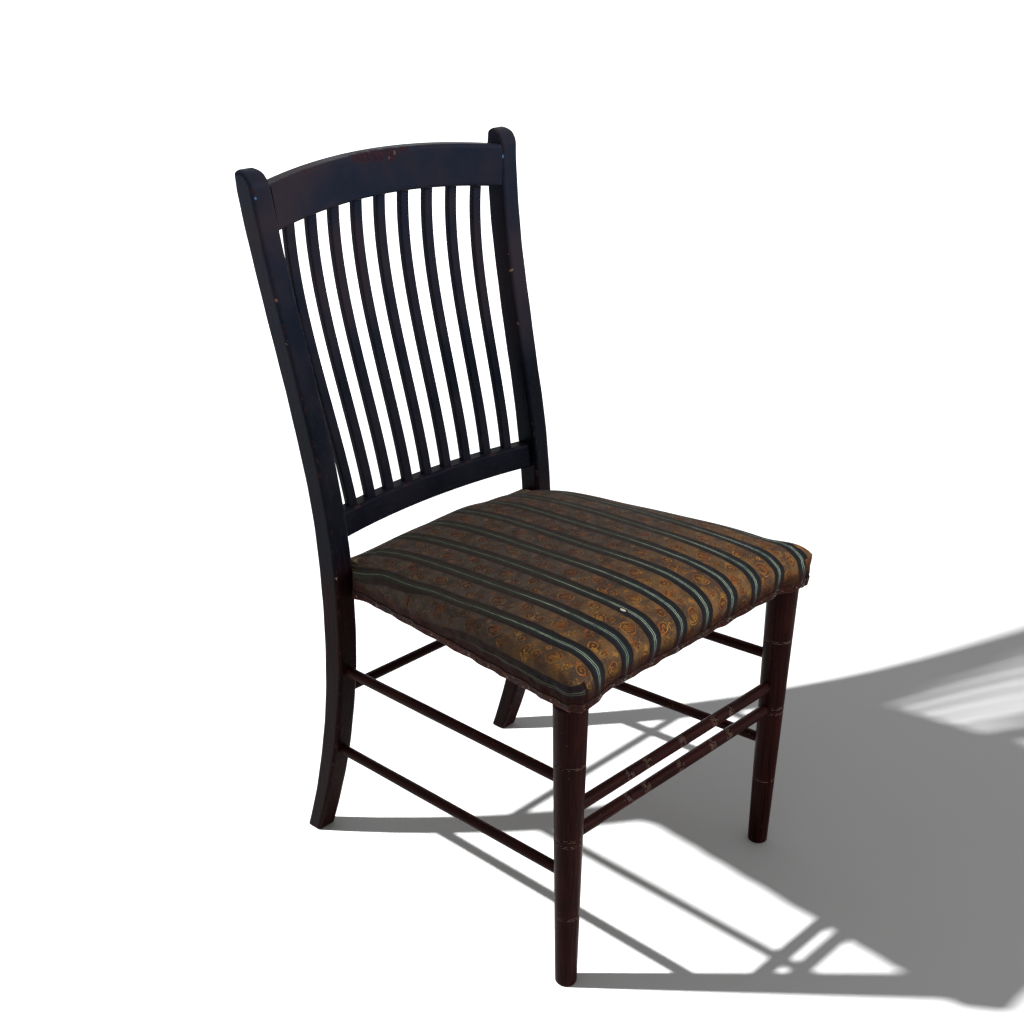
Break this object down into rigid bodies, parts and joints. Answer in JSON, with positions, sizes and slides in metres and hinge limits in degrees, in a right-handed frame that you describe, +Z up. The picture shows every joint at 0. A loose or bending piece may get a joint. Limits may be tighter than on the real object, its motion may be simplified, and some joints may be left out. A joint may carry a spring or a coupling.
{
  "type": "side chair",
  "caption": "Side chair with bent slats between bowed back rails, turned front legs, round stretchers and a worn stuffed-over seat in striped fabric",
  "frame": {"origin": "on the floor, in the middle of the overall box", "axes": "+Z up, the chair faces -Y, +X to the right of someone who looks along +Y"},
  "size_m": [0.4754, 0.5682, 0.912],
  "materials": {
    "back_wood": "worn black stain under thin varnish, semi-gloss",
    "leg_wood": "worn brown-black stain, semi-gloss, rubbed pale at the rings",
    "frame_wood": "bare sawn hardwood",
    "screw_steel": "dull",
    "webbing": "woven jute",
    "hessian": "coarse woven",
    "stuffing": "matted fibre",
    "cover_fabric": "striped figured weave, faded and worn",
    "braid": "worn woven braid",
    "tack_metal": "dulled, rusty"
  },
  "bodies": {
    "root": {"left_back_post": "back_wood", "right_back_post": "back_wood", "crest_rail": "back_wood", "lower_back_rail": "back_wood", "back_slat_1": "back_wood", "back_slat_2": "back_wood", "back_slat_3": "back_wood", "back_slat_4": "back_wood", "back_slat_5": "back_wood", "back_slat_6": "back_wood", "back_slat_7": "back_wood", "back_slat_8": "back_wood", "back_slat_9": "back_wood", "left_front_leg": "leg_wood", "right_front_leg": "leg_wood", "front_stretcher_lower": "leg_wood", "front_stretcher_upper": "leg_wood", "left_stretcher_lower": "leg_wood", "left_stretcher_upper": "leg_wood", "right_stretcher_lower": "leg_wood", "right_stretcher_upper": "leg_wood", "back_stretcher": "leg_wood", "front_seat_rail": "frame_wood", "left_seat_rail": "frame_wood", "right_seat_rail": "frame_wood", "back_seat_rail": "frame_wood", "left_front_block": "frame_wood", "right_front_block": "frame_wood", "left_back_block": "frame_wood", "right_back_block": "frame_wood", "seat_dowels": "frame_wood", "corner_block_screws": "screw_steel", "webbing_lengthwise": "webbing", "webbing_crosswise": "webbing", "base_cloth": "hessian", "seat_stuffing": "stuffing", "seat_cover": "cover_fabric", "edge_braid": "braid", "cover_tacks": "tack_metal"}
  },
  "joints": []
}
